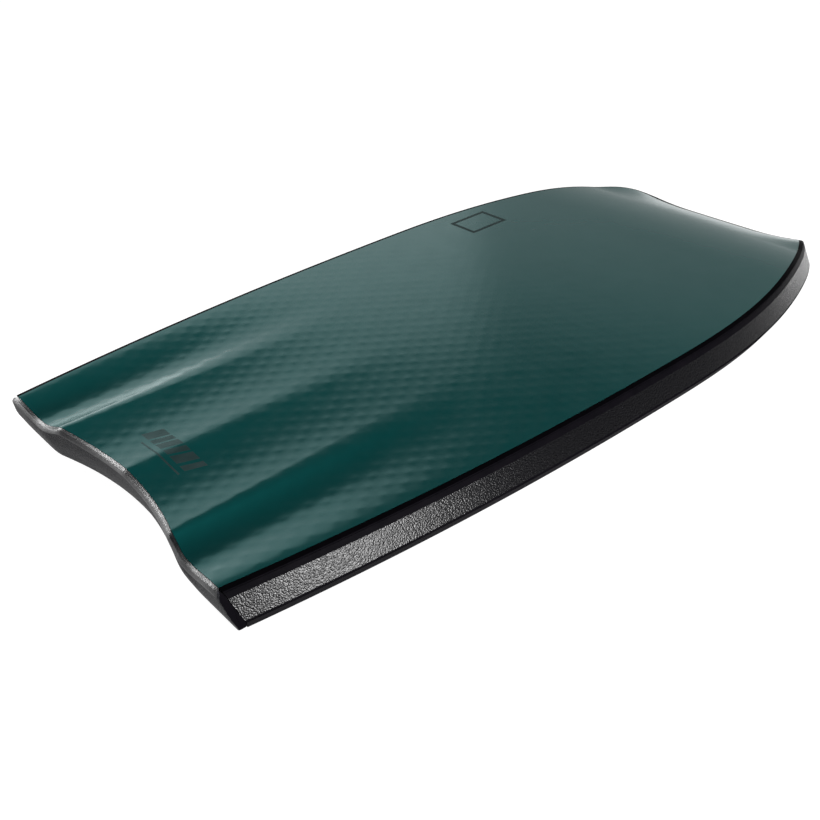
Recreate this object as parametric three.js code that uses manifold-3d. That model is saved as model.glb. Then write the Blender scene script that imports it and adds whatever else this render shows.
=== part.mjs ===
// A bodyboard, built up in layers as a real one is: foam core with a stringer, netting,
// slick, deck skin, laminated rails and bumpers. It rests deck down, so its slick, the
// hard glossy riding face, looks up, and it stands on its nose tip and its tail.
//
// Millimetres. In the board's own frame +X runs from tail to nose, +Y to the board's left
// and +Z out of the slick. X = 0 is at the tail wings and Z = 0 is the flat of the slick.
// Every piece is made of points given by a place on the slick's outline, a distance
// outward from it and a depth below the slick's face.
import * as THREE from "three";
import { mergeVertices } from "three/addons/utils/BufferGeometryUtils.js";
import Module from "manifold-3d";

// Outline of the slick, seen from above.
const SLICK_LENGTH = 1037;
const TAIL_HALF_WIDTH = 218;
const WIDE_HALF_WIDTH = 254.5;
const NOSE_HALF_WIDTH = 138;
const WIDE_POINT_X = 578;
const TAIL_CURVE_POWER = 2.27;
const NOSE_CURVE_POWER = 2.52;
const NOSE_CORNER_RADIUS = 23;
const NOSE_CORNER_TURN = THREE.MathUtils.degToRad(83);
const NOSE_BOW = 8;
const NOSE_BOW_REACH = 160;

// Crescent tail: a shallow arc between two straight wings, cut at a rake.
const CRESCENT_DEPTH = 24.5;
const CRESCENT_HALF_SPAN = 150;
const CRESCENT_SOFTNESS = 2.5;
const TAIL_RAKE = 0.3;
const TAIL_REACH = 90;

// Height of the board: thickness and the rocker that droops the nose.
const THICKNESS = 50.5;
const ROCKER_START_X = 836;
const NOSE_DROP = 39.4;
const ROCKER_POWER = 2.6;
const CORNER_LIFT = 6.5;
const CORNER_LIFT_REACH = 82;
const CORNER_LIFT_START_Y = 59;

// Four channels in the tail half of the slick, between crests at Y = 0 and +-CREST_Y.
const CREST_Y = 122;
const CHANNEL_END_X = 425;
const INNER_CHANNEL_DEPTH = 5;
const OUTER_CHANNEL_DEPTH = 9;
const OUTER_WALL_WIDTH = 42;
const CHANNEL_FULL_DEPTH = 6;
const CHANNEL_GONE_DEPTH = 20;

// Layers, by their depth below the slick's face, and the glue gap between them.
const GAP = 0.3;
const SLICK_THICKNESS = 1.5;
const NET_THICKNESS = 0.8;
const DECK_SKIN_THICKNESS = 4.9;
const NET_TOP = SLICK_THICKNESS + GAP;
const CORE_TOP = NET_TOP + NET_THICKNESS + GAP;
const DECK_SKIN_TOP = THICKNESS - DECK_SKIN_THICKNESS;
const CORE_BOTTOM = DECK_SKIN_TOP - GAP;

// Rails: a shoulder and a steeper bevel beside the slick, a face that leans out to the
// apex, and a chine below it. Widths are measured outward from the slick's edge.
const SHOULDER_WIDTH = 6.2;
const SHOULDER_DEPTH = 1.2;
const BEVEL_WIDTH = 8.2;
const BEVEL_DEPTH = 5.6;
const APEX_WIDTH = 19.5;
const APEX_DEPTH = 33.5;
const DECK_EDGE_WIDTH = 9;
const RAIL_SPLIT = 0.5;

// Tail bumper: the same shoulder and bevel, then a face that bulges between its edges.
const TAIL_SHOULDER_WIDTH = 4.2;
const TAIL_BEVEL_WIDTH = 7.8;
const TAIL_BULGE_WIDTH = 10.3;
const TAIL_BULGE_DEPTH = 27;
const TAIL_DECK_EDGE_WIDTH = 8.5;

// Stringer: a hollow carbon rod in a bore drilled from the tail, with an end cap each end.
const STRINGER_DEPTH = 25;
const STRINGER_RADIUS = 5;
const STRINGER_WALL = 1;
const BORE_RADIUS = 5.4;
const BORE_END_X = 868;
const PLUG_START_X = 36;
const PLUG_LENGTH = 28;
const CAP_HEAD_LENGTH = 5;
const CAP_SPIGOT_LENGTH = 12;
const ROUND_SIDES = 16;

const COLOURS = {
  slick: new THREE.Color(0.02, 0.09, 0.08),
  net: new THREE.Color(0.75, 0.76, 0.74),
  core: new THREE.Color(0.9, 0.9, 0.88),
  deck: new THREE.Color(0.03, 0.03, 0.034),
  rail: new THREE.Color(0.02, 0.02, 0.022),
  bumper: new THREE.Color(0.05, 0.05, 0.055),
  carbon: new THREE.Color(0.02, 0.02, 0.02),
  plug: new THREE.Color(0.6, 0.6, 0.58),
};

// ---- Shape of the board -------------------------------------------------------------

function smoothStep(t) {
  const c = THREE.MathUtils.clamp(t, 0, 1);
  return c * c * (3 - 2 * c);
}

/** Half-width of the slick at x, before the nose corner is rounded. */
function outlineHalfWidth(x) {
  if (x < WIDE_POINT_X) {
    const share = (WIDE_POINT_X - x) / WIDE_POINT_X;
    return WIDE_HALF_WIDTH - (WIDE_HALF_WIDTH - TAIL_HALF_WIDTH) * share ** TAIL_CURVE_POWER;
  }
  const share = (x - WIDE_POINT_X) / (SLICK_LENGTH - WIDE_POINT_X);
  return WIDE_HALF_WIDTH - (WIDE_HALF_WIDTH - NOSE_HALF_WIDTH) * share ** NOSE_CURVE_POWER;
}

/** How far the crescent cuts into the tail at y: an arc that runs out softly at the wings. */
function crescent(y) {
  const arc = CRESCENT_DEPTH * (1 - (y / CRESCENT_HALF_SPAN) ** 2);
  return (arc + Math.hypot(arc, CRESCENT_SOFTNESS)) / 2;
}

/** Height of the flat, drooping surface that both faces of the board follow. */
function rocker(x, y) {
  const share = Math.max(0, (x - ROCKER_START_X) / (SLICK_LENGTH - ROCKER_START_X));
  const nearNose = smoothStep((x - SLICK_LENGTH + CORNER_LIFT_REACH) / CORNER_LIFT_REACH);
  const nearSide = Math.max(0, Math.abs(y) - CORNER_LIFT_START_Y);
  const sideShare = nearSide / (NOSE_HALF_WIDTH - CORNER_LIFT_START_Y);
  return CORNER_LIFT * nearNose * sideShare ** 2 - NOSE_DROP * share ** ROCKER_POWER;
}

/** Depth of the channels below the flat of the slick; they meet in creased crests. */
function channelDepth(x, y) {
  const fade = 1 - smoothStep(x / CHANNEL_END_X);
  const side = Math.abs(y);
  if (side < CREST_Y) {
    return INNER_CHANNEL_DEPTH * fade * (1 - ((2 * side) / CREST_Y - 1) ** 2);
  }
  const wallShare = THREE.MathUtils.clamp((side - CREST_Y) / OUTER_WALL_WIDTH, 0, 1);
  const wall = 1 - (1 - wallShare) ** 2;
  const floorY = CREST_Y + OUTER_WALL_WIDTH;
  const rise = 1 - smoothStep((side - floorY) / (outlineHalfWidth(x) - floorY));
  return OUTER_CHANNEL_DEPTH * fade * wall * rise;
}

/** Distance below the flat of the slick; deep layers don't follow the channels. */
function levelAt(x, y, depth) {
  const channelShare = (CHANNEL_GONE_DEPTH - depth) / (CHANNEL_GONE_DEPTH - CHANNEL_FULL_DEPTH);
  return depth + THREE.MathUtils.clamp(channelShare, 0, 1) * channelDepth(x, y);
}

// ---- Stations -----------------------------------------------------------------------

function spread(from, to, steps) {
  return Array.from({ length: steps }, (_, i) => from + ((to - from) * i) / steps);
}

/** Rows across the board, from tail to nose, each with its x and its half-width. */
function makeRows() {
  const cornerX = SLICK_LENGTH - NOSE_CORNER_RADIUS;
  const places = [
    ...spread(0, TAIL_REACH, 4),
    ...spread(TAIL_REACH, CHANNEL_END_X, 6),
    ...spread(CHANNEL_END_X, ROCKER_START_X, 8),
    ...spread(ROCKER_START_X, cornerX, 6),
  ];
  const rows = places.map((x) => ({ x, half: outlineHalfWidth(x) }));
  const cornerSteps = 5;
  for (let i = 0; i <= cornerSteps; i++) {
    const turn = (NOSE_CORNER_TURN * i) / cornerSteps;
    const x = cornerX + NOSE_CORNER_RADIUS * Math.sin(turn);
    const half = outlineHalfWidth(x) - NOSE_CORNER_RADIUS * (1 - Math.cos(turn));
    rows.push({ x, half });
  }
  return rows;
}

const CREST_LANE_SHARES = [0, 0.18, 0.42, 0.68, 0.86, 1];
const EDGE_LANE_SHARES = [0.15, 0.35, 0.65, 1];
const LANES_PER_SIDE = CREST_LANE_SHARES.length - 1 + EDGE_LANE_SHARES.length;

/** y of a lane, -LANES_PER_SIDE to LANES_PER_SIDE; a lane runs along each channel crest. */
function laneY(row, lane) {
  const index = Math.abs(lane);
  const widthAtChannelEnd = outlineHalfWidth(CHANNEL_END_X);
  const crest = row.x < CHANNEL_END_X ? CREST_Y : (CREST_Y * row.half) / widthAtChannelEnd;
  const onCrestSide = index < CREST_LANE_SHARES.length;
  const edgeShare = EDGE_LANE_SHARES[index - CREST_LANE_SHARES.length];
  const y = onCrestSide
    ? crest * CREST_LANE_SHARES[index]
    : crest + (row.half - crest) * edgeShare;
  return Math.sign(lane) * y;
}

const rows = makeRows();
const lastRow = rows.length - 1;

/** A row at a level: the raked tail moves the first rows towards the nose. */
function rowAtLevel(row, level) {
  if (row.x >= TAIL_REACH) return row;
  const x = row.x + TAIL_RAKE * level * (1 - row.x / TAIL_REACH) ** 2;
  return { x, half: outlineHalfWidth(x) };
}

/** A point of the board: rows bend with the crescent tail and with the bow of the nose. */
function boardPoint(rowIndex, lane, depth = 0) {
  const row = rows[rowIndex];
  const level = levelAt(row.x, laneY(row, lane), depth);
  const raked = rowAtLevel(row, level);
  const y = laneY(raked, lane);
  const tailShare = Math.max(0, 1 - row.x / TAIL_REACH) ** 2;
  const noseShare = Math.max(0, 1 - (rows[lastRow].x - row.x) / NOSE_BOW_REACH) ** 2;
  const bow = NOSE_BOW * (1 - (y / row.half) ** 2);
  const x = raked.x + crescent(y) * tailShare + bow * noseShare;
  return new THREE.Vector3(x, y, rocker(x, y) - level);
}

// ---- Closed solids ------------------------------------------------------------------

function solid(points, triangles) {
  const geometry = new THREE.BufferGeometry();
  const positions = points.flatMap((p) => [p.x, p.y, p.z]);
  geometry.setAttribute("position", new THREE.Float32BufferAttribute(positions, 3));
  geometry.setIndex(triangles);
  return geometry;
}

/** Two triangles for the quad a-b-c-d, anticlockwise as seen from outside. */
function quad(a, b, c, d) {
  return [a, b, c, a, c, d];
}

/** A layer that fills the slick's outline between two depths. */
function layer(topDepth, bottomDepth) {
  const lanes = 2 * LANES_PER_SIDE + 1;
  const points = [];
  for (const depth of [topDepth, bottomDepth]) {
    for (let row = 0; row <= lastRow; row++) {
      for (let lane = -LANES_PER_SIDE; lane <= LANES_PER_SIDE; lane++) {
        points.push(boardPoint(row, lane, depth));
      }
    }
  }
  const top = (row, lane) => row * lanes + lane;
  const bottom = (row, lane) => rows.length * lanes + top(row, lane);
  const triangles = [];
  for (let r = 0; r < lastRow; r++) {
    for (let l = 0; l < lanes - 1; l++) {
      triangles.push(...quad(top(r, l), top(r + 1, l), top(r + 1, l + 1), top(r, l + 1)));
      triangles.push(
        ...quad(bottom(r, l), bottom(r, l + 1), bottom(r + 1, l + 1), bottom(r + 1, l)),
      );
    }
    const l = lanes - 1;
    triangles.push(...quad(top(r, 0), bottom(r, 0), bottom(r + 1, 0), top(r + 1, 0)));
    triangles.push(...quad(top(r, l), top(r + 1, l), bottom(r + 1, l), bottom(r, l)));
  }
  for (let l = 0; l < lanes - 1; l++) {
    triangles.push(...quad(top(0, l), top(0, l + 1), bottom(0, l + 1), bottom(0, l)));
    const r = lastRow;
    triangles.push(...quad(top(r, l), bottom(r, l), bottom(r, l + 1), top(r, l + 1)));
  }
  return solid(points, triangles);
}

/** A strip through a row of equal rings; each ring runs down its outer side and up again. */
function strip(rings) {
  const size = rings[0].length;
  const half = size / 2;
  const triangles = [];
  for (let k = 0; k < rings.length - 1; k++) {
    for (let m = 0; m < size; m++) {
      const next = (m + 1) % size;
      const here = k * size;
      const there = here + size;
      triangles.push(...quad(here + m, here + next, there + next, there + m));
    }
  }
  const last = (rings.length - 1) * size;
  for (let m = 0; m < half - 1; m++) {
    const inner = size - 1 - m;
    triangles.push(...quad(m, inner, inner - 1, m + 1));
    triangles.push(...quad(last + m, last + m + 1, last + inner - 1, last + inner));
  }
  return solid(rings.flat(), triangles);
}

// ---- Paths along the outline --------------------------------------------------------

/** A path of [row, lane] places, each with its direction and its outward normal. */
function withNormals(places) {
  const points = places.map(([row, lane]) => boardPoint(row, lane));
  return places.map(([row, lane], i) => {
    const before = points[Math.max(0, i - 1)];
    const after = points[Math.min(places.length - 1, i + 1)];
    const along = after.clone().sub(before).setZ(0).normalize();
    return { row, lane, along, outward: new THREE.Vector3(along.y, -along.x, 0) };
  });
}

/** The outline from the tail's right corner round the nose to its left corner. */
function sidePath() {
  const places = [];
  for (let row = 0; row < lastRow; row++) places.push([row, -LANES_PER_SIDE]);
  for (let lane = -LANES_PER_SIDE; lane < LANES_PER_SIDE; lane++) places.push([lastRow, lane]);
  for (let row = lastRow; row >= 0; row--) places.push([row, LANES_PER_SIDE]);
  const path = withNormals(places);
  for (const end of [path[0], path[path.length - 1]]) {
    end.outward.set(0, 1 / end.outward.y, 0);
  }
  return path;
}

/** The tail edge from the left corner to the right corner. */
function tailPath() {
  const places = [];
  for (let lane = LANES_PER_SIDE; lane >= -LANES_PER_SIDE; lane--) places.push([0, lane]);
  return withNormals(places);
}

/** A point at a distance outward from a path point and at a depth below the slick. */
function railPoint(point, outward, depth, shiftAlong = 0) {
  const place = boardPoint(point.row, point.lane, depth);
  place.addScaledVector(point.outward, outward);
  return place.addScaledVector(point.along, shiftAlong);
}

/** A strip with a constant section of [outward, depth] pairs along part of a path. */
function rail(path, section, trimStart = 0, trimEnd = 0) {
  const last = path.length - 1;
  const rings = path.map((point, i) => {
    const shift = i === 0 ? trimStart : i === last ? -trimEnd : 0;
    return section.map(([outward, depth]) => railPoint(point, outward, depth, shift));
  });
  return strip(rings);
}

/** Outer profile of the rail: how far it stands out from the slick's edge at a depth. */
function railProfile(depth) {
  const corners = [
    [0, 0],
    [SHOULDER_WIDTH, SHOULDER_DEPTH],
    [BEVEL_WIDTH, BEVEL_DEPTH],
    [APEX_WIDTH, APEX_DEPTH],
    [DECK_EDGE_WIDTH, THICKNESS],
  ];
  const below = corners.findIndex(([, cornerDepth], i) => i > 0 && depth <= cornerDepth);
  const [fromWidth, fromDepth] = corners[below - 1];
  const [toWidth, toDepth] = corners[below];
  const share = (depth - fromDepth) / (toDepth - fromDepth);
  return fromWidth + (toWidth - fromWidth) * share;
}

const outline = sidePath();
const noseStart = lastRow;
const noseEnd = outline.length - 1 - lastRow;
const rightPath = outline.slice(0, noseStart + 1);
const nosePath = outline.slice(noseStart, noseEnd + 1);
const leftPath = outline.slice(noseEnd);

const RAIL_BOTTOM = APEX_DEPTH - GAP / 2;
const CHINE_TOP = APEX_DEPTH + GAP;
const INNER_EDGE_DEPTH = (GAP * SHOULDER_DEPTH) / SHOULDER_WIDTH;
const SEAM_BOTTOM_WIDTH = RAIL_SPLIT * railProfile(RAIL_BOTTOM);
const BEVEL_SLOPE = (BEVEL_DEPTH - SHOULDER_DEPTH) / (BEVEL_WIDTH - SHOULDER_WIDTH);

const INNER_RAIL_SECTION = [
  [SHOULDER_WIDTH, SHOULDER_DEPTH],
  [SEAM_BOTTOM_WIDTH, RAIL_BOTTOM],
  [GAP, RAIL_BOTTOM],
  [GAP, INNER_EDGE_DEPTH],
];
const OUTER_RAIL_SECTION = [
  [BEVEL_WIDTH, BEVEL_DEPTH],
  [railProfile(RAIL_BOTTOM), RAIL_BOTTOM],
  [SEAM_BOTTOM_WIDTH + GAP, RAIL_BOTTOM],
  [SHOULDER_WIDTH + GAP, SHOULDER_DEPTH + GAP * BEVEL_SLOPE],
];
const CHINE_SECTION = [
  [railProfile(CHINE_TOP), CHINE_TOP],
  [DECK_EDGE_WIDTH, THICKNESS],
  [GAP, THICKNESS],
  [GAP, CHINE_TOP],
];
const NOSE_BUMPER_SECTION = [
  [SHOULDER_WIDTH, SHOULDER_DEPTH],
  [BEVEL_WIDTH, BEVEL_DEPTH],
  [APEX_WIDTH, APEX_DEPTH],
  [DECK_EDGE_WIDTH, THICKNESS],
  [GAP, THICKNESS],
  [GAP, APEX_DEPTH],
  [GAP, BEVEL_DEPTH],
  [GAP, INNER_EDGE_DEPTH],
];
const TAIL_BUMPER_SECTION = [
  [TAIL_SHOULDER_WIDTH, SHOULDER_DEPTH],
  [TAIL_BEVEL_WIDTH, BEVEL_DEPTH],
  [TAIL_BULGE_WIDTH, TAIL_BULGE_DEPTH],
  [TAIL_DECK_EDGE_WIDTH, THICKNESS],
  [GAP, THICKNESS],
  [GAP, TAIL_BULGE_DEPTH],
  [GAP, BEVEL_DEPTH],
  [GAP, INNER_EDGE_DEPTH],
];

/** The strip across the tail; its ends are cut to the profile of the side rails. */
function tailBumper() {
  const rings = tailPath().map((point) =>
    TAIL_BUMPER_SECTION.map(([outward, depth]) => railPoint(point, outward, depth)),
  );
  const endRing = (ring, side) =>
    ring.map((p, m) => {
      const width = railProfile(TAIL_BUMPER_SECTION[m][1]);
      return new THREE.Vector3(p.x, p.y + side * width, p.z);
    });
  rings.unshift(endRing(rings[0], 1));
  rings.push(endRing(rings[rings.length - 1], -1));
  return strip(rings);
}

// ---- Stringer -----------------------------------------------------------------------

/** A turned piece on the stringer's axis; the profile is [radius, x] pairs. */
function turned(profile) {
  const points = profile.map(([radius, x]) => new THREE.Vector2(radius, -x));
  const geometry = new THREE.LatheGeometry(points, ROUND_SIDES);
  geometry.rotateZ(Math.PI / 2);
  geometry.translate(0, 0, -STRINGER_DEPTH);
  return geometry;
}

function rod(radius, fromX, toX) {
  return turned([[0, toX], [radius, toX], [radius, fromX], [0, fromX]]);
}

function stringerTube(fromX, toX) {
  const inside = STRINGER_RADIUS - STRINGER_WALL;
  return turned([
    [inside, toX],
    [STRINGER_RADIUS, toX],
    [STRINGER_RADIUS, fromX],
    [inside, fromX],
    [inside, toX],
  ]);
}

/** An end cap whose head covers the tube's end at x; its spigot points along direction. */
function stringerCap(x, direction) {
  const spigot = STRINGER_RADIUS - STRINGER_WALL - GAP;
  const head = x - direction * (CAP_HEAD_LENGTH + GAP);
  const shoulder = x - direction * GAP;
  const tip = x + direction * CAP_SPIGOT_LENGTH;
  const profile = [
    [0, tip],
    [spigot, tip],
    [spigot, shoulder],
    [STRINGER_RADIUS, shoulder],
    [STRINGER_RADIUS, head],
    [0, head],
  ];
  return turned(direction > 0 ? profile : profile.reverse());
}

// ---- Cutting ------------------------------------------------------------------------

const wasm = await Module();
wasm.setup();

function toManifold(geometry) {
  const bare = geometry.clone();
  bare.deleteAttribute("normal");
  bare.deleteAttribute("uv");
  const merged = mergeVertices(bare);
  const vertProperties = new Float32Array(merged.attributes.position.array);
  const triVerts = new Uint32Array(merged.index.array);
  return new wasm.Manifold(new wasm.Mesh({ numProp: 3, vertProperties, triVerts }));
}

function subtract(body, tool) {
  const mesh = toManifold(body).subtract(toManifold(tool)).getMesh();
  const geometry = new THREE.BufferGeometry();
  geometry.setAttribute("position", new THREE.BufferAttribute(mesh.vertProperties, 3));
  geometry.setIndex(new THREE.BufferAttribute(mesh.triVerts, 1));
  return geometry;
}

// ---- Assembly -----------------------------------------------------------------------

const board = new THREE.Group();

function add(name, geometry, colour, roughness) {
  geometry.computeVertexNormals();
  const material = new THREE.MeshStandardMaterial({ color: colour, roughness, metalness: 0 });
  const mesh = new THREE.Mesh(geometry, material);
  mesh.name = name;
  board.add(mesh);
}

const plugEnd = PLUG_START_X + PLUG_LENGTH;
const tubeStart = plugEnd + GAP + CAP_HEAD_LENGTH + GAP;
const tubeEnd = BORE_END_X - 2 * GAP - CAP_HEAD_LENGTH;

add("core", subtract(layer(CORE_TOP, CORE_BOTTOM), rod(BORE_RADIUS, 0, BORE_END_X)),
  COLOURS.core, 0.9);
add("stringer", stringerTube(tubeStart, tubeEnd), COLOURS.carbon, 0.4);
add("stringer_cap_tail", stringerCap(tubeStart, 1), COLOURS.plug, 0.6);
add("stringer_cap_nose", stringerCap(tubeEnd, -1), COLOURS.plug, 0.6);
add("stringer_bore_plug", rod(STRINGER_RADIUS, PLUG_START_X, plugEnd), COLOURS.core, 0.9);
add("slick_net", layer(NET_TOP, NET_TOP + NET_THICKNESS), COLOURS.net, 0.6);
add("slick", layer(0, SLICK_THICKNESS), COLOURS.slick, 0.25);
add("deck_skin", layer(DECK_SKIN_TOP, THICKNESS), COLOURS.deck, 0.7);

const seamTrim = GAP / 2;
add("rail_inner_right", rail(rightPath, INNER_RAIL_SECTION, 0, seamTrim), COLOURS.rail, 0.5);
add("rail_inner_left", rail(leftPath, INNER_RAIL_SECTION, seamTrim, 0), COLOURS.rail, 0.5);
add("rail_outer_right", rail(rightPath, OUTER_RAIL_SECTION, 0, seamTrim), COLOURS.rail, 0.5);
add("rail_outer_left", rail(leftPath, OUTER_RAIL_SECTION, seamTrim, 0), COLOURS.rail, 0.5);
add("chine_right", rail(rightPath, CHINE_SECTION, 0, seamTrim), COLOURS.rail, 0.4);
add("chine_left", rail(leftPath, CHINE_SECTION, seamTrim, 0), COLOURS.rail, 0.4);
add("nose_bumper", rail(nosePath, NOSE_BUMPER_SECTION, seamTrim, seamTrim), COLOURS.rail, 0.5);
add("tail_bumper", tailBumper(), COLOURS.bumper, 0.5);

// Resting pose: the deck's edges at the nose tip and at the tail wings are level.
const noseTip = boardPoint(lastRow, 0, THICKNESS);
const tailContactX = TAIL_RAKE * THICKNESS - TAIL_DECK_EDGE_WIDTH;
const restLength = noseTip.x + DECK_EDGE_WIDTH - tailContactX;
board.rotation.y = -Math.atan2(-THICKNESS - noseTip.z, restLength);
board.updateMatrixWorld(true);

// The origin is under the middle of the object, on the surface that it rests on.
const box = new THREE.Box3().setFromObject(board, true);
const middle = box.getCenter(new THREE.Vector3());
board.position.set(-middle.x, -middle.y, -box.min.z);

const bodyboard = new THREE.Group();
bodyboard.add(board);

export default bodyboard;
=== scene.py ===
"""Looks of the bodyboard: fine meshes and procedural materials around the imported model.

Every visible piece is built in the board's own frame, in metres: +X from tail to nose,
+Y to the board's left, +Z out of the slick, X = 0 at the tail wings and Z = 0 on the flat
of the slick. One matrix, REST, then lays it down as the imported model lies.
"""

import math

import bpy
import numpy as np
from mathutils import Matrix, Vector


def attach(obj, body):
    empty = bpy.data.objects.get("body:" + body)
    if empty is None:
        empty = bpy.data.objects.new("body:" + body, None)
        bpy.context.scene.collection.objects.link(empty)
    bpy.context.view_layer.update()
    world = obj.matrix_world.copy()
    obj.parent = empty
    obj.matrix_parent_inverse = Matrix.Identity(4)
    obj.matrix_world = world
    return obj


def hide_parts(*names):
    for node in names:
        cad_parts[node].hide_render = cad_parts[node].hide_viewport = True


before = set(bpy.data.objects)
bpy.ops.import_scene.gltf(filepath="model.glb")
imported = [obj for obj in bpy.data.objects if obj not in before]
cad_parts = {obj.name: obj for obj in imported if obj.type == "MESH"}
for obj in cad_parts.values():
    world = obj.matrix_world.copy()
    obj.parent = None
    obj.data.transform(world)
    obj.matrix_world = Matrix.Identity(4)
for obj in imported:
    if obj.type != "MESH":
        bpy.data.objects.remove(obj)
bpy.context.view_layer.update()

# ---- Camera ---------------------------------------------------------------------------

CAMERA_PLACE = Vector((-0.83009, -0.8385, 0.63474))
CAMERA_AIM = Vector((-0.22964, -0.12159, 0.06305))
CAMERA_ROLL = -0.0201
CAMERA_LENS_MM = 44.47
CAMERA_SENSOR_MM = 36
CAMERA_REACH = 60


def make_camera():
    data = bpy.data.cameras.new("camera")
    data.sensor_width = CAMERA_SENSOR_MM
    data.lens = CAMERA_LENS_MM
    data.clip_end = CAMERA_REACH
    camera = bpy.data.objects.new("camera", data)
    aim = (CAMERA_AIM - CAMERA_PLACE).to_track_quat("-Z", "Y").to_matrix().to_4x4()
    roll = Matrix.Rotation(CAMERA_ROLL, 4, "Z")
    camera.matrix_world = Matrix.Translation(CAMERA_PLACE) @ aim @ roll
    bpy.context.scene.collection.objects.link(camera)
    bpy.context.scene.camera = camera


make_camera()

# ---- Driving dimensions, the same as the part's ------------------------------------------

SLICK_LENGTH = 1.037
TAIL_HALF_WIDTH = 0.218
WIDE_HALF_WIDTH = 0.2545
NOSE_HALF_WIDTH = 0.138
WIDE_POINT_X = 0.578
TAIL_CURVE_POWER = 2.27
NOSE_CURVE_POWER = 2.52
NOSE_CORNER_RADIUS = 0.023
NOSE_CORNER_TURN = math.radians(83)
NOSE_BOW = 0.008
NOSE_BOW_REACH = 0.160

CRESCENT_DEPTH = 0.0245
CRESCENT_HALF_SPAN = 0.150
CRESCENT_SOFTNESS = 0.0025
TAIL_RAKE = 0.3
TAIL_REACH = 0.090

THICKNESS = 0.0505
ROCKER_START_X = 0.836
NOSE_DROP = 0.0394
ROCKER_POWER = 2.6
CORNER_LIFT = 0.0065
CORNER_LIFT_REACH = 0.082
CORNER_LIFT_START_Y = 0.059

CREST_Y = 0.122
CHANNEL_END_X = 0.425
INNER_CHANNEL_DEPTH = 0.005
OUTER_CHANNEL_DEPTH = 0.009
OUTER_WALL_WIDTH = 0.042
CHANNEL_FULL_DEPTH = 0.006
CHANNEL_GONE_DEPTH = 0.020

GAP = 0.0003
SLICK_THICKNESS = 0.0015
DECK_SKIN_THICKNESS = 0.0049

SHOULDER_WIDTH = 0.0062
SHOULDER_DEPTH = 0.0012
BEVEL_WIDTH = 0.0082
BEVEL_DEPTH = 0.0056
APEX_WIDTH = 0.0195
APEX_DEPTH = 0.0335
DECK_EDGE_WIDTH = 0.009
RAIL_SPLIT = 0.5
TAIL_SHOULDER_WIDTH = 0.0042
TAIL_BEVEL_WIDTH = 0.0078
TAIL_BULGE_WIDTH = 0.0103
TAIL_BULGE_DEPTH = 0.027
TAIL_DECK_EDGE_WIDTH = 0.0085

REST_PITCH = math.radians(2.379536)
REST_SHIFT = (-0.530398, 0, 0.050554)
REST = Matrix.Translation(REST_SHIFT) @ Matrix.Rotation(-REST_PITCH, 4, "Y")

# The rest of the dimensions belong to these meshes only; the part has none of them.

# Reach of the rounding over each crest, at the tail and where the channels end.
CREST_SOFT_TAIL = 0.004
CREST_SOFT_END = 0.018
CREST_SAMPLES = 5

# Netting that shows through the slick: knots on a staggered lattice.
NET_PITCH_X = 0.0286
NET_PITCH_Y = 0.0227
NET_KNOT_RADIUS = 0.0048
NET_KNOT_HEIGHT = 0.00015
NET_STRAND_WIDTH = 0.0026
NET_STRAND_HEIGHT = 0.00003
NET_FADE_START_X = 0.18
NET_FADE_END_X = 0.72
NET_FADE_SHARE = 0.9
NET_EDGE_REACH = 0.012
NET_SINK = 0.00005


# ---- Shape of the board -----------------------------------------------------------------

def smooth_step(t):
    c = np.clip(t, 0, 1)
    return c * c * (3 - 2 * c)


def outline_half_width(x):
    tail_share = np.clip((WIDE_POINT_X - x) / WIDE_POINT_X, 0, None)
    nose_share = np.clip((x - WIDE_POINT_X) / (SLICK_LENGTH - WIDE_POINT_X), 0, None)
    tail_part = (WIDE_HALF_WIDTH - TAIL_HALF_WIDTH) * tail_share ** TAIL_CURVE_POWER
    nose_part = (WIDE_HALF_WIDTH - NOSE_HALF_WIDTH) * nose_share ** NOSE_CURVE_POWER
    return WIDE_HALF_WIDTH - tail_part - nose_part


def crescent(y):
    arc = CRESCENT_DEPTH * (1 - (y / CRESCENT_HALF_SPAN) ** 2)
    return (arc + np.hypot(arc, CRESCENT_SOFTNESS)) / 2


def rocker(x, y):
    share = np.clip((x - ROCKER_START_X) / (SLICK_LENGTH - ROCKER_START_X), 0, None)
    near_nose = smooth_step((x - SLICK_LENGTH + CORNER_LIFT_REACH) / CORNER_LIFT_REACH)
    near_side = np.clip(np.abs(y) - CORNER_LIFT_START_Y, 0, None)
    side_share = near_side / (NOSE_HALF_WIDTH - CORNER_LIFT_START_Y)
    return CORNER_LIFT * near_nose * side_share ** 2 - NOSE_DROP * share ** ROCKER_POWER


def creased_channel_depth(x, y):
    fade = 1 - smooth_step(x / CHANNEL_END_X)
    side = np.abs(y)
    inner = INNER_CHANNEL_DEPTH * fade * (1 - (2 * side / CREST_Y - 1) ** 2)
    wall = 1 - (1 - np.clip((side - CREST_Y) / OUTER_WALL_WIDTH, 0, 1)) ** 2
    floor_y = CREST_Y + OUTER_WALL_WIDTH
    rise = 1 - smooth_step((side - floor_y) / (outline_half_width(x) - floor_y))
    outer = OUTER_CHANNEL_DEPTH * fade * wall * rise
    return np.where(side < CREST_Y, inner, outer)


def channel_depth(x, y):
    """Channels whose crests are crisp at the tail and round off towards the nose."""
    along = np.clip(x / CHANNEL_END_X, 0, 1)
    reach = CREST_SOFT_TAIL + (CREST_SOFT_END - CREST_SOFT_TAIL) * along
    steps = np.linspace(-1, 1, CREST_SAMPLES)
    return sum(creased_channel_depth(x, y + step * reach) for step in steps) / len(steps)


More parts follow.
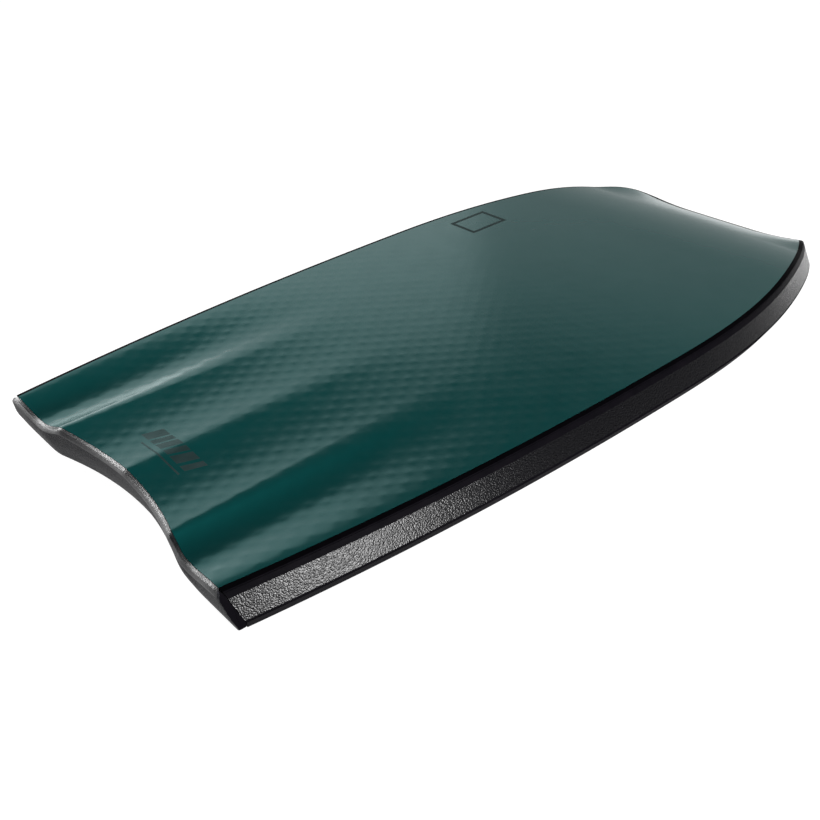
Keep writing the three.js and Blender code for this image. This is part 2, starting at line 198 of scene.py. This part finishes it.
def board_points(x, half, share, depth):
    """Points at x, at a share (-1 to 1) of the half-width, at a depth below the slick."""
    channel_share = (CHANNEL_GONE_DEPTH - depth) / (CHANNEL_GONE_DEPTH - CHANNEL_FULL_DEPTH)
    level = depth + np.clip(channel_share, 0, 1) * channel_depth(x, share * half)
    tail_share = np.clip(1 - x / TAIL_REACH, 0, None) ** 2
    raked_x = x + TAIL_RAKE * level * tail_share
    raked_half = np.where(x < TAIL_REACH, outline_half_width(raked_x), half)
    y = share * raked_half
    last_x = ROWS[-1][0]
    nose_share = np.clip(1 - (last_x - x) / NOSE_BOW_REACH, 0, None) ** 2
    bow = NOSE_BOW * (1 - (y / half) ** 2) * nose_share
    px = raked_x + crescent(y) * tail_share + bow
    return np.stack([px, y, rocker(px, y) - level], axis=-1)


# The rows run across the board, the columns from tail to nose. CREST_COLUMN_SHARE of each
# half's columns lie between the centre and the crest.
ROW_STEP = 0.0028
CORNER_ROWS = 14
COLUMNS = 201
CREST_COLUMN_SHARE = 0.48
CREST_WIDEST_SHARE = 0.6


def make_rows():
    """(x, half-width) of the rows from the tail to the nose, round the nose corner."""
    corner_x = SLICK_LENGTH - NOSE_CORNER_RADIUS
    x = np.linspace(0, corner_x, int(corner_x / ROW_STEP) + 1)[:-1]
    turn = np.linspace(0, NOSE_CORNER_TURN, CORNER_ROWS)
    corner = corner_x + NOSE_CORNER_RADIUS * np.sin(turn)
    cut = NOSE_CORNER_RADIUS * (1 - np.cos(turn))
    xs = np.concatenate([x, corner])
    halves = np.concatenate([outline_half_width(x), outline_half_width(corner) - cut])
    return np.stack([xs, halves], axis=-1)


ROWS = make_rows()


# ---- Meshes -----------------------------------------------------------------------------

def make_piece(name, points, faces, node, material):
    """A smooth-shaded mesh in the board's frame that stands for a CAD node."""
    mesh = bpy.data.meshes.new(name)
    mesh.from_pydata(np.asarray(points, float).tolist(), [], faces)
    mesh.transform(REST)
    mesh.polygons.foreach_set("use_smooth", [True] * len(mesh.polygons))
    mesh.materials.append(material)
    mesh.update()
    piece = bpy.data.objects.new(name, mesh)
    bpy.context.scene.collection.objects.link(piece)
    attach(piece, "root")
    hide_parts(node)
    return piece


def grid_faces(rows, columns, start, flip):
    r = np.arange(rows - 1)[:, None] * columns
    c = np.arange(columns - 1)[None, :]
    a = start + r + c
    quads = np.stack([a, a + columns, a + columns + 1, a + 1], axis=-1).reshape(-1, 4)
    return quads[:, ::-1] if flip else quads


def rim_faces(rows, columns, second_start):
    """The band that joins the edges of two grids."""
    top = np.arange(rows * columns).reshape(rows, columns)
    loop = np.concatenate([
        top[0, :-1], top[:-1, -1], top[-1, :0:-1], top[:0:-1, 0],
    ])
    after = np.roll(loop, -1)
    return np.stack([loop, after, after + second_start, loop + second_start], axis=-1)


def column_shares(half):
    """Shares of the half-width for the columns, with a column along each creased crest."""
    across = np.linspace(-1, 1, COLUMNS)[None, :]
    crest_y = np.minimum(CREST_Y, CREST_WIDEST_SHARE * half)
    inside = np.clip(np.abs(across) / CREST_COLUMN_SHARE, 0, 1) * crest_y
    beyond = np.clip(np.abs(across) - CREST_COLUMN_SHARE, 0, None) / (1 - CREST_COLUMN_SHARE)
    return np.sign(across) * (inside + beyond * (half - crest_y)) / half


def layer(name, top_depth, bottom_depth, node, material, relief=None):
    """A sheet that fills the slick's outline between two depths."""
    x = ROWS[:, :1]
    half = ROWS[:, 1:]
    share = column_shares(half)
    top = board_points(x, half, share, top_depth)
    bottom = board_points(x, half, share, bottom_depth)
    if relief is not None:
        top[..., 2] += relief(top[..., 0], top[..., 1])
    rows = len(ROWS)
    size = rows * COLUMNS
    faces = np.concatenate([
        grid_faces(rows, COLUMNS, 0, False),
        grid_faces(rows, COLUMNS, size, True),
        rim_faces(rows, COLUMNS, size),
    ])
    points = np.concatenate([top.reshape(-1, 3), bottom.reshape(-1, 3)])
    mark_sharp(make_piece(name, points, faces.tolist(), node, material))


def net_relief(x, y):
    """Knots and strands of the netting, fading out towards the nose and at the edges."""
    u = x / NET_PITCH_X
    v = y / NET_PITCH_Y
    height = np.zeros_like(x)
    for offset in (0, 0.5):
        du = (u - offset - np.round(u - offset)) * NET_PITCH_X
        dv = (v - offset - np.round(v - offset)) * NET_PITCH_Y
        knot = np.exp(-(du ** 2 + dv ** 2) / NET_KNOT_RADIUS ** 2)
        height += NET_KNOT_HEIGHT * knot
    for sign in (1, -1):
        across = u + sign * v
        away = (across - np.round(across)) / math.hypot(1 / NET_PITCH_X, 1 / NET_PITCH_Y)
        height += NET_STRAND_HEIGHT * np.exp(-(away / NET_STRAND_WIDTH) ** 2)
    fade_span = NET_FADE_END_X - NET_FADE_START_X
    fade = 1 - NET_FADE_SHARE * smooth_step((x - NET_FADE_START_X) / fade_span)
    to_edge = outline_half_width(x) - np.abs(y)
    return height * fade * smooth_step(to_edge / NET_EDGE_REACH) - NET_SINK


# ---- Rails ------------------------------------------------------------------------------

SIDE_ROW_STEP = 3
FRONT_PLACES = 60
TAIL_PLACES = 181
CORNER_REACH_SHARE = 0.45
CORNER_STEPS = 4
SECTION_STEP = 0.0015
SHARP_ANGLE = math.radians(35)


def rail_profile(depth):
    depths = [0, SHOULDER_DEPTH, BEVEL_DEPTH, APEX_DEPTH, THICKNESS]
    widths = [0, SHOULDER_WIDTH, BEVEL_WIDTH, APEX_WIDTH, DECK_EDGE_WIDTH]
    return np.interp(depth, depths, widths)


def path_frames(places):
    """For (x, half, share) places: the places, their directions and outward normals."""
    places = np.array(places)
    points = board_points(places[:, 0], places[:, 1], places[:, 2], 0)
    along = np.gradient(points[:, :2], axis=0)
    along /= np.linalg.norm(along, axis=1)[:, None]
    outward = np.stack([along[:, 1], -along[:, 0]], axis=-1)
    return places, along, outward


def side_places():
    """The outline from the tail's right corner round the nose to its left corner."""
    side = list(ROWS[:-CORNER_ROWS - 1:SIDE_ROW_STEP]) + list(ROWS[-CORNER_ROWS:])
    right = [(x, half, -1) for x, half in side]
    nose_x, nose_half = ROWS[-1]
    front = [(nose_x, nose_half, s) for s in np.linspace(-1, 1, FRONT_PLACES)[1:-1]]
    left = [(x, half, 1) for x, half in side[::-1]]
    return right, front, left


def round_corners(section, radii):
    """The closed section with each corner replaced by a small arc."""
    rounded = []
    count = len(section)
    for i, (corner, radius) in enumerate(zip(section, radii)):
        corner = np.array(corner)
        before = np.array(section[i - 1]) - corner
        after = np.array(section[(i + 1) % count]) - corner
        reach_before = min(radius, CORNER_REACH_SHARE * np.linalg.norm(before))
        reach_after = min(radius, CORNER_REACH_SHARE * np.linalg.norm(after))
        start = corner + before / np.linalg.norm(before) * reach_before
        end = corner + after / np.linalg.norm(after) * reach_after
        for t in np.linspace(0, 1, CORNER_STEPS):
            rounded.append((1 - t) ** 2 * start + 2 * t * (1 - t) * corner + t ** 2 * end)
    return np.array(rounded)


def subdivide(section):
    """Extra points on the sides of a closed section that are longer than SECTION_STEP."""
    points = []
    for i, here in enumerate(section):
        there = section[(i + 1) % len(section)]
        pieces = max(1, math.ceil(np.linalg.norm(there - here) / SECTION_STEP))
        for k in range(pieces):
            points.append(here + (there - here) * k / pieces)
    return np.array(points)


def sweep(name, frames, section, node, materials, trims=(0, 0), ends=None, zone=None):
    """A closed section of (outward, depth) pairs swept along part of the outline.

    zone gives the number of the material at each depth; the end caps take the second one.
    """
    places, along, outward = frames
    count = len(places)
    size = len(section)
    rings = np.zeros((count, size, 3))
    for m, (width, depth) in enumerate(section):
        base = board_points(places[:, 0], places[:, 1], places[:, 2], depth)
        base[:, :2] += outward * width
        rings[:, m] = base
    rings[0, :, :2] += along[0] * trims[0]
    rings[-1, :, :2] -= along[-1] * trims[1]
    if ends is not None:
        rings = np.concatenate([ends(rings[0], 1), rings, ends(rings[-1], -1)])
        count = len(rings)
    here = np.arange(count - 1)[:, None] * size + np.arange(size)[None, :]
    following = np.arange(count - 1)[:, None] * size + (np.arange(size) + 1)[None, :] % size
    sides = np.stack([here, following, following + size, here + size], axis=-1).reshape(-1, 4)
    caps = [list(range(size))[::-1], [(count - 1) * size + m for m in range(size)]]
    faces = sides.tolist() + caps
    piece = make_piece(name, rings.reshape(-1, 3), faces, node, materials[0])
    for material in materials[1:]:
        piece.data.materials.append(material)
    middle = (section[:, 1] + np.roll(section[:, 1], -1)) / 2
    side_index = zone(middle) if zone else np.zeros(size)
    index = np.concatenate([np.tile(side_index, count - 1), [1, 1]]).astype(int)
    piece.data.polygons.foreach_set("material_index", index.tolist())
    mark_sharp(piece)


def mark_sharp(piece):
    """Flat end caps and crisp section corners keep their edges."""
    piece.data.set_sharp_from_angle(angle=SHARP_ANGLE)


# ---- Materials --------------------------------------------------------------------------

RAIL_FOAM_SPECULAR = 0.08
# The tail bumper's shoulder reflects far more than the same foam elsewhere, as part of a lit
# copy of the foam that paints its highlight.
BUMPER_FOAM_SPECULAR = 0.36
SMOOTH_FOAM_SPECULAR = 0.004


class Nodes:
    """Short names for building a node material."""

    def __init__(self, name):
        self.material = bpy.data.materials.new(name)
        self.material.use_nodes = True
        self.tree = self.material.node_tree
        self.shader = self.tree.nodes["Principled BSDF"]
        self.coords = self.new("ShaderNodeTexCoord").outputs["Object"]

    def new(self, kind, **settings):
        node = self.tree.nodes.new(kind)
        for key, value in settings.items():
            setattr(node, key, value)
        return node

    def link(self, source, target):
        self.tree.links.new(source, target)

    def put(self, socket, value):
        if isinstance(value, bpy.types.NodeSocket):
            self.link(value, socket)
        else:
            socket.default_value = value

    def math(self, operation, a, b=0.0, clamp=False):
        node = self.new("ShaderNodeMath", operation=operation, use_clamp=clamp)
        self.put(node.inputs[0], a)
        self.put(node.inputs[1], b)
        return node.outputs[0]

    def noise(self, scale, detail=2.0, roughness=0.5):
        node = self.new("ShaderNodeTexNoise")
        self.link(self.coords, node.inputs["Vector"])
        node.inputs["Scale"].default_value = scale
        node.inputs["Detail"].default_value = detail
        node.inputs["Roughness"].default_value = roughness
        return node.outputs["Fac"]

    def voronoi(self, scale, feature, smoothness=None):
        node = self.new("ShaderNodeTexVoronoi", feature=feature)
        self.link(self.coords, node.inputs["Vector"])
        node.inputs["Scale"].default_value = scale
        if smoothness is not None:
            node.inputs["Smoothness"].default_value = smoothness
        return node.outputs["Distance"]

    def remap(self, value, low, high, to_low, to_high):
        node = self.new("ShaderNodeMapRange")
        self.put(node.inputs["Value"], value)
        for key, number in (("From Min", low), ("From Max", high),
                            ("To Min", to_low), ("To Max", to_high)):
            node.inputs[key].default_value = number
        return node.outputs[0]

    def mix(self, factor, a, b):
        node = self.new("ShaderNodeMix", data_type="RGBA")
        self.put(node.inputs["Factor"], factor)
        self.put(node.inputs["A"], a)
        self.put(node.inputs["B"], b)
        return node.outputs["Result"]

    def bump(self, height, distance):
        node = self.new("ShaderNodeBump")
        node.inputs["Distance"].default_value = distance
        self.link(height, node.inputs["Height"])
        return node.outputs["Normal"]

    def set(self, **sockets):
        for key, value in sockets.items():
            self.put(self.shader.inputs[key.replace("_", " ")], value)


SLICK_DEEP = (0.003, 0.067, 0.066, 1)
SLICK_PALE = (0.005, 0.080, 0.078, 1)
SLICK_REFLECTION_TINT = (0.12, 1.0, 0.98, 1)
SLICK_ROUGHNESS = (0.18, 0.23)
SLICK_WAVE_HEIGHT = 0.0001
INK = (0.004, 0.007, 0.008, 1)
INK_EXTRA_ROUGHNESS = 0.35


def slick_material():
    """Glossy dark green sheet with the printed marks; its reflections are tinted green."""
    n = Nodes("slick_sheet")
    cloud = n.noise(9, 3)
    colour = n.mix(cloud, SLICK_DEEP, SLICK_PALE)
    mask = marks_mask(n)
    haze = n.remap(n.noise(30, 4), 0.3, 0.7, *SLICK_ROUGHNESS)
    ink_roughness = n.math("MULTIPLY", mask, INK_EXTRA_ROUGHNESS)
    n.set(Base_Color=n.mix(mask, colour, INK),
          Roughness=n.math("ADD", haze, ink_roughness),
          Normal=n.bump(n.noise(45, 1), SLICK_WAVE_HEIGHT))
    n.shader.inputs["Specular Tint"].default_value = SLICK_REFLECTION_TINT
    return n.material


MASK_EDGE_SLOPE = 6000


def box_mask(n, u, v, centre, half_size):
    """1 inside a rectangle of the u, v plane, 0 outside, with a crisp edge."""
    du = n.math("SUBTRACT", half_size[0], n.math("ABSOLUTE", n.math("SUBTRACT", u, centre[0])))
    dv = n.math("SUBTRACT", half_size[1], n.math("ABSOLUTE", n.math("SUBTRACT", v, centre[1])))
    inside = n.math("MINIMUM", du, dv)
    return n.math("MULTIPLY", inside, MASK_EDGE_SLOPE, clamp=True)


# Each bar's centre y and half-width.
MARK_BARS = ((0.040, 0.008), (0.024, 0.005), (0.010, 0.0065), (-0.006, 0.005), (-0.022, 0.0075),
             (-0.040, 0.005))
MARK_X = 0.0795
MARK_HALF_HEIGHT = 0.0115
MARK_SLANT = 0.35
MARK_LINE_CENTRE = (MARK_X - 0.0185, -0.002)
MARK_LINE_HALF = (0.0012, 0.040)
EMBLEM_CENTRE = (0.712, 0.200)
EMBLEM_HALF = (0.034, 0.026)
EMBLEM_STROKE = 0.0058


def marks_mask(n):
    """Plain printed marks: a row of slanted bars over a line, and a rectangle outline."""
    to_board = n.new("ShaderNodeMapping", vector_type="TEXTURE")
    to_board.inputs["Location"].default_value = REST_SHIFT
    to_board.inputs["Rotation"].default_value = (0, -REST_PITCH, 0)
    n.link(n.coords, to_board.inputs["Vector"])
    split = n.new("ShaderNodeSeparateXYZ")
    n.link(to_board.outputs[0], split.inputs[0])
    x, y = split.outputs["X"], split.outputs["Y"]
    slanted = n.math("ADD", y, n.math("MULTIPLY", n.math("SUBTRACT", x, MARK_X), MARK_SLANT))
    mask = box_mask(n, x, y, MARK_LINE_CENTRE, MARK_LINE_HALF)
    for centre_y, half_width in MARK_BARS:
        bar = box_mask(n, x, slanted, (MARK_X, centre_y), (MARK_HALF_HEIGHT, half_width))
        mask = n.math("MAXIMUM", mask, bar)
    hole = [half - EMBLEM_STROKE for half in EMBLEM_HALF]
    outline_mask = n.math("SUBTRACT", box_mask(n, x, y, EMBLEM_CENTRE, EMBLEM_HALF),
                          box_mask(n, x, y, EMBLEM_CENTRE, hole))
    return n.math("MAXIMUM", mask, outline_mask)


def pebble_material(name, dark, light, roughness, coarse, depth, specular):
    """Foam skin with a pebbled face; coarse is the grains' scale, depth their height."""
    n = Nodes(name)
    grains = n.voronoi(coarse, "SMOOTH_F1", smoothness=0.3)
    fine = n.noise(coarse * 2.2, 2, 0.5)
    height = n.math("ADD", n.math("MULTIPLY", grains, -1.0), n.math("MULTIPLY", fine, 0.2))
    tone = n.remap(n.noise(coarse * 0.8, 3, 0.7), 0.35, 0.7, 0, 1)
    n.set(Base_Color=n.mix(tone, dark, light), Normal=n.bump(height, depth),
          Roughness=n.remap(fine, 0.3, 0.7, roughness - 0.08, roughness + 0.12))
    n.shader.inputs["Specular IOR Level"].default_value = specular
    return n.material


def smooth_foam_material():
    n = Nodes("rail_smooth_foam")
    fine = n.noise(900, 3, 0.6)
    tone = n.noise(60, 3)
    n.set(Base_Color=n.mix(tone, (0.001, 0.001, 0.0015, 1), (0.003, 0.0025, 0.0035, 1)),
          Roughness=n.remap(fine, 0.3, 0.7, 0.42, 0.56), Normal=n.bump(fine, 0.00004))
    n.shader.inputs["Specular IOR Level"].default_value = SMOOTH_FOAM_SPECULAR
    return n.material


def deck_material():
    n = Nodes("deck_foam_skin")
    cells = n.voronoi(650, "SMOOTH_F1", smoothness=0.5)
    fine = n.noise(1400, 2)
    height = n.math("ADD", n.math("MULTIPLY", cells, -1.0), n.math("MULTIPLY", fine, 0.5))
    tone = n.noise(35, 4, 0.6)
    n.set(Base_Color=n.mix(tone, (0.012, 0.0125, 0.014, 1), (0.020, 0.021, 0.024, 1)),
          Roughness=n.remap(fine, 0.3, 0.7, 0.6, 0.75), Normal=n.bump(height, 0.0004))
    return n.material


def bead_foam_material():
    n = Nodes("core_bead_foam")
    beads = n.voronoi(260, "DISTANCE_TO_EDGE")
    shade = n.remap(beads, 0, 0.12, 0, 1)
    n.set(Base_Color=n.mix(shade, (0.62, 0.62, 0.58, 1), (0.87, 0.87, 0.84, 1)),
          Roughness=n.remap(n.noise(80), 0.3, 0.7, 0.75, 0.9), Normal=n.bump(beads, 0.0008))
    return n.material


def carbon_material():
    n = Nodes("stringer_carbon")
    weave = n.new("ShaderNodeTexWave", wave_type="BANDS", bands_direction="DIAGONAL")
    n.link(n.coords, weave.inputs["Vector"])
    weave.inputs["Scale"].default_value = 220
    band = weave.outputs["Fac"]
    n.set(Base_Color=n.mix(band, (0.010, 0.010, 0.011, 1), (0.035, 0.035, 0.038, 1)),
          Roughness=n.remap(band, 0, 1, 0.25, 0.4), Normal=n.bump(band, 0.00005))
    return n.material


def moulded_material(name, dark, light):
    n = Nodes(name)
    fine = n.noise(700, 3)
    n.set(Base_Color=n.mix(n.noise(90, 3), dark, light),
          Roughness=n.remap(fine, 0.3, 0.7, 0.4, 0.55), Normal=n.bump(fine, 0.0001))
    return n.material


SLICK = slick_material()
SMOOTH_FOAM = smooth_foam_material()
RAIL_FOAM = pebble_material("rail_pebbled_foam", (0.0006, 0.0006, 0.0009, 1),
                            (0.0020, 0.0019, 0.0026, 1), 0.22, 600, 0.00022, RAIL_FOAM_SPECULAR)
# The tail bumper takes lit and shaded copies of one foam. The shoulder's copy is lighter and
# more reflective, a painted highlight. The lower face's copy is darker, rougher and duller,
# painted shade.
BUMPER_LIT_SHOULDER_FOAM = pebble_material("bumper_lit_shoulder_foam", (0.006, 0.006, 0.008, 1),
                              (0.030, 0.031, 0.034, 1), 0.34, 600, 0.00014, BUMPER_FOAM_SPECULAR)
BUMPER_SHADED_FACE = pebble_material("bumper_shaded_lower_face", (0.006, 0.006, 0.008, 1),
                              (0.022, 0.022, 0.025, 1), 0.55, 520, 0.0007, RAIL_FOAM_SPECULAR)
SMOOTH_PAIR = (SMOOTH_FOAM, SMOOTH_FOAM)
DECK_FOAM = deck_material()
BEAD_FOAM = bead_foam_material()
CAP_NYLON = moulded_material("cap_nylon", (0.48, 0.48, 0.46, 1), (0.58, 0.58, 0.56, 1))

# ---- The board --------------------------------------------------------------------------

RAIL_BOTTOM = APEX_DEPTH - GAP / 2
CHINE_TOP = APEX_DEPTH + GAP
INNER_EDGE_DEPTH = GAP * SHOULDER_DEPTH / SHOULDER_WIDTH
SEAM_BOTTOM_WIDTH = RAIL_SPLIT * float(rail_profile(RAIL_BOTTOM))
BEVEL_SLOPE = (BEVEL_DEPTH - SHOULDER_DEPTH) / (BEVEL_WIDTH - SHOULDER_WIDTH)

INNER_RAIL_SECTION = [
    (SHOULDER_WIDTH, SHOULDER_DEPTH),
    (SEAM_BOTTOM_WIDTH, RAIL_BOTTOM),
    (GAP, RAIL_BOTTOM),
    (GAP, INNER_EDGE_DEPTH),
]
OUTER_RAIL_SECTION = [
    (BEVEL_WIDTH, BEVEL_DEPTH),
    (float(rail_profile(RAIL_BOTTOM)), RAIL_BOTTOM),
    (SEAM_BOTTOM_WIDTH + GAP, RAIL_BOTTOM),
    (SHOULDER_WIDTH + GAP, SHOULDER_DEPTH + GAP * BEVEL_SLOPE),
]
CHINE_SECTION = [
    (float(rail_profile(CHINE_TOP)), CHINE_TOP),
    (DECK_EDGE_WIDTH, THICKNESS),
    (GAP, THICKNESS),
    (GAP, CHINE_TOP),
]
NOSE_BUMPER_SECTION = [
    (SHOULDER_WIDTH, SHOULDER_DEPTH),
    (BEVEL_WIDTH, BEVEL_DEPTH),
    (APEX_WIDTH, APEX_DEPTH),
    (DECK_EDGE_WIDTH, THICKNESS),
    (GAP, THICKNESS),
    (GAP, INNER_EDGE_DEPTH),
]
TAIL_BUMPER_SECTION = [
    (TAIL_SHOULDER_WIDTH, SHOULDER_DEPTH),
    (TAIL_BEVEL_WIDTH, BEVEL_DEPTH),
    (TAIL_BULGE_WIDTH, TAIL_BULGE_DEPTH),
    (TAIL_DECK_EDGE_WIDTH, THICKNESS),
    (GAP, THICKNESS),
    (GAP, TAIL_BULGE_DEPTH),
    (GAP, BEVEL_DEPTH),
    (GAP, INNER_EDGE_DEPTH),
]

# Corner radii, one for each corner of the section of the same name.
INNER_RAIL_RADII = (0.0004, 0.0001, 0.0001, 0.0001)
OUTER_RAIL_RADII = (0.0016, 0.0005, 0.0001, 0.0014)
CHINE_RADII = (0.0006, 0.003, 0.0001, 0.0001)
NOSE_BUMPER_RADII = (0.0008, 0.0016, 0.0015, 0.003, 0.0001, 0.0001)
TAIL_BUMPER_RADII = (0.0006, 0.0015, 0.006, 0.003, 0.0001, 0.0001, 0.0001, 0.0001)

LIP_DEPTH = SHOULDER_DEPTH + 0.0011
HOT_CUT_REACH = 0.0022
# Below this depth the tail bumper takes the darker, duller copy of its foam, painted shade.
TAIL_FACE_DEPTH = BEVEL_DEPTH + 0.001
END_ROUNDING = 0.0025
END_FACE_SHRINK = 0.08


def prepared(section, radii):
    return subdivide(round_corners(section, radii))


def hot_cut(depth):
    """Where a rail is smooth: its bevel below the lip at the seam, and its foot."""
    bevel = (depth > LIP_DEPTH) & (depth < BEVEL_DEPTH + HOT_CUT_REACH)
    return bevel | (depth > APEX_DEPTH - HOT_CUT_REACH)


def make_rails():
    right, front, left = side_places()
    places, along, outward = path_frames(right + front + left)
    for end in (0, -1):
        outward[end] = (0, 1 / outward[end][1])
    nose_start = len(right) - 1
    nose_end = nose_start + len(front) + 1
    seam = GAP / 2
    inner = prepared(INNER_RAIL_SECTION, INNER_RAIL_RADII)
    outer = prepared(OUTER_RAIL_SECTION, OUTER_RAIL_RADII)
    chine = prepared(CHINE_SECTION, CHINE_RADII)
    bumper = prepared(NOSE_BUMPER_SECTION, NOSE_BUMPER_RADII)
    spans = (("right", slice(0, nose_start + 1), (0, seam)),
             ("left", slice(nose_end, None), (seam, 0)))
    for side, span, trims in spans:
        part = (places[span], along[span], outward[span])
        sweep("inner_rail_" + side, part, inner, "rail_inner_" + side,
              SMOOTH_PAIR, trims)
        sweep("outer_rail_" + side, part, outer, "rail_outer_" + side,
              (RAIL_FOAM, SMOOTH_FOAM), trims, zone=hot_cut)
        sweep("chine_strip_" + side, part, chine, "chine_" + side,
              SMOOTH_PAIR, trims)
    span = slice(nose_start, nose_end + 1)
    part = (places[span], along[span], outward[span])
    sweep("nose_bumper_strip", part, bumper, "nose_bumper",
          (RAIL_FOAM, SMOOTH_FOAM), (seam, seam), zone=hot_cut)


def make_tail_bumper():
    section = prepared(TAIL_BUMPER_SECTION, TAIL_BUMPER_RADII)
    x, half = ROWS[0]
    frames = path_frames([(x, half, s) for s in np.linspace(1, -1, TAIL_PLACES)])

    def cut_end(ring, side):
        """Two rings: the rail's width out from the ring, then a slightly smaller end face."""
        width = rail_profile(section[:, 1])
        full = ring + np.outer(side * width, (0, 1, 0))
        face = full + (full.mean(axis=0) - full) * END_FACE_SHRINK
        face[:, 1] = full[:, 1]
        short = ring + np.outer(side * np.maximum(width - END_ROUNDING, width / 2), (0, 1, 0))
        return np.stack([face, short] if side > 0 else [short, face])

    def shoulder_or_face(depth):
        return np.where(depth > TAIL_FACE_DEPTH, 2, 0)

    # Painted light: the shoulder gets the lighter, more reflective copy of the foam as a painted
    # highlight, and the face below TAIL_FACE_DEPTH gets the darker copy as painted shade.
    sweep("tail_bumper_strip", frames, section, "tail_bumper",
          (BUMPER_LIT_SHOULDER_FOAM, SMOOTH_FOAM, BUMPER_SHADED_FACE), ends=cut_end, zone=shoulder_or_face)


layer("slick_sheet", 0, SLICK_THICKNESS, "slick", SLICK, net_relief)
layer("deck_foam_skin", THICKNESS - DECK_SKIN_THICKNESS, THICKNESS, "deck_skin",
      DECK_FOAM)
make_rails()
make_tail_bumper()

INSIDE_MATERIALS = {
    "core": BEAD_FOAM,
    "stringer_bore_plug": BEAD_FOAM,
    "stringer": carbon_material(),
    "stringer_cap_tail": CAP_NYLON,
    "stringer_cap_nose": CAP_NYLON,
    "slick_net": moulded_material("netting", (0.62, 0.63, 0.61, 1), (0.75, 0.76, 0.74, 1)),
}
for node, material in INSIDE_MATERIALS.items():
    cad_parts[node].data.materials.clear()
    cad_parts[node].data.materials.append(material)


# ---- Floor and light --------------------------------------------------------------------

FLOOR_HALF_SIZE = 8
FLOOR_SHADE = (0.2, 0.2, 0.2, 1)
FLOOR_GLOW = 0.97
WORLD_GLOW = 0.02


def make_floor():
    n = Nodes("pale_floor")
    n.set(Base_Color=FLOOR_SHADE, Roughness=0.9)
    n.shader.inputs["Emission Color"].default_value = (1, 1, 1, 1)
    n.shader.inputs["Emission Strength"].default_value = FLOOR_GLOW
    mesh = bpy.data.meshes.new("floor")
    s = FLOOR_HALF_SIZE
    mesh.from_pydata([(-s, -s, 0), (s, -s, 0), (s, s, 0), (-s, s, 0)], [], [(0, 1, 2, 3)])
    mesh.materials.append(n.material)
    floor = bpy.data.objects.new("floor", mesh)
    bpy.context.scene.collection.objects.link(floor)


def area_light(name, place, aim, width, height, radiance):
    """A soft rectangular light of an even radiance, facing its aim."""
    data = bpy.data.lights.new(name, "AREA")
    data.shape = "RECTANGLE"
    data.size = width
    data.size_y = height
    data.energy = radiance * width * height * math.pi
    light = bpy.data.objects.new(name, data)
    turn = (Vector(aim) - Vector(place)).to_track_quat("-Z", "Y").to_matrix().to_4x4()
    light.matrix_world = Matrix.Translation(place) @ turn
    bpy.context.scene.collection.objects.link(light)


def around(azimuth, distance, height):
    """The place at an azimuth in degrees and a distance from the frame's upright axis."""
    angle = math.radians(azimuth)
    return (distance * math.cos(angle), distance * math.sin(angle), height)


def make_world():
    world = bpy.data.worlds.new("studio")
    world.use_nodes = True
    background = world.node_tree.nodes["Background"]
    background.inputs["Color"].default_value = (1, 1, 1, 1)
    background.inputs["Strength"].default_value = WORLD_GLOW
    bpy.context.scene.world = world


# Name, place, aim, width, height, radiance.
LIGHTS = (
    ("back_wall", around(69, 6.0, 2.03), (0, 0, 2.03), 4.8, 4.06, 1.1),
    ("back_glow", around(75, 5.8, 0.7), (0, 0, 0.7), 3.6, 1.4, 1.0),
    ("right_back_wall", around(23, 6.0, 1.95), (0, 0, 1.95), 5.3, 3.9, 0.56),
    ("tail_softbox", (-0.74, 1.62, 0.97), (-0.5, 0, 0.05), 0.4, 0.4, 40.0),
    ("wing_softbox", (-1.1, 1.0, 0.2), (-0.53, 0.15, 0.04), 0.3, 0.3, 25.0),
    ("rail_softbox", (-0.17, -1.42, 0.14), (-0.42, -0.25, 0.03), 0.36, 0.26, 140.0),
    ("nose_softbox", (2.2, -0.2, 0.14), (0.4, -0.2, 0.06), 0.9, 0.3, 40.0),
    ("lip_softbox", (2.2, -2.0, 1.45), (0.1, -0.27, 0.06), 0.5, 0.25, 30.0),
)

make_floor()
make_world()
for light_row in LIGHTS:
    area_light(*light_row)
bpy.context.scene.view_settings.view_transform = "Standard"
